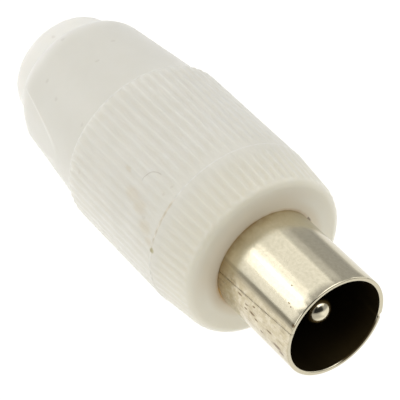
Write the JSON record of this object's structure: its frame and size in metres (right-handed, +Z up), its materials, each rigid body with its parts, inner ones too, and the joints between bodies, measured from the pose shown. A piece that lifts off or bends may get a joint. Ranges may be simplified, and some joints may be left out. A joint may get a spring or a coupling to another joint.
{
  "type": "coaxial plug",
  "caption": "Coaxial aerial plug with a rolled metal ferrule, a domed centre pin and a ribbed plastic ring and screw-on shell that clamps the cable's braid.",
  "frame": {"origin": "centre of the ferrule's front rim", "axes": "+X along the plug's axis, out of the ferrule's mouth; +Z up, with the plug lying on its ribs"},
  "size_m": [0.0409, 0.0164, 0.0164],
  "materials": {
    "white_plastic": "satin moulded off-white",
    "nickel": "nickel plate, slightly warm, drawn along the axis",
    "black_plastic": "dull black",
    "tinned_steel": "tinned sheet"
  },
  "bodies": {
    "plug_front": {"front_ring": "white_plastic", "ferrule": "nickel", "insulator": "black_plastic", "centre_pin": "nickel"},
    "terminal_screw": {"terminal_screw": "nickel"},
    "braid_clamp": {"braid_clamp": "tinned_steel"},
    "rear_shell": {"rear_shell": "white_plastic"}
  },
  "joints": [
    {"name": "terminal_screw_travel", "type": "slide", "parent": "plug_front", "child": "terminal_screw", "axis": [0, 0, 1], "range_m": [0, 0.0009]},
    {"name": "clamp_travel", "type": "slide", "parent": "plug_front", "child": "braid_clamp", "axis": [-1, 0, 0], "range_m": [0, 0.005]},
    {"name": "shell_turn", "type": "hinge", "parent": "braid_clamp", "child": "rear_shell", "pos_m": [-0.02, 0, 0], "axis": [-1, 0, 0], "range_deg": [0, 1440]}
  ],
  "couplings": [
    {"joint": "clamp_travel", "follows": "shell_turn", "m_per_rad": 0.00019894}
  ]
}
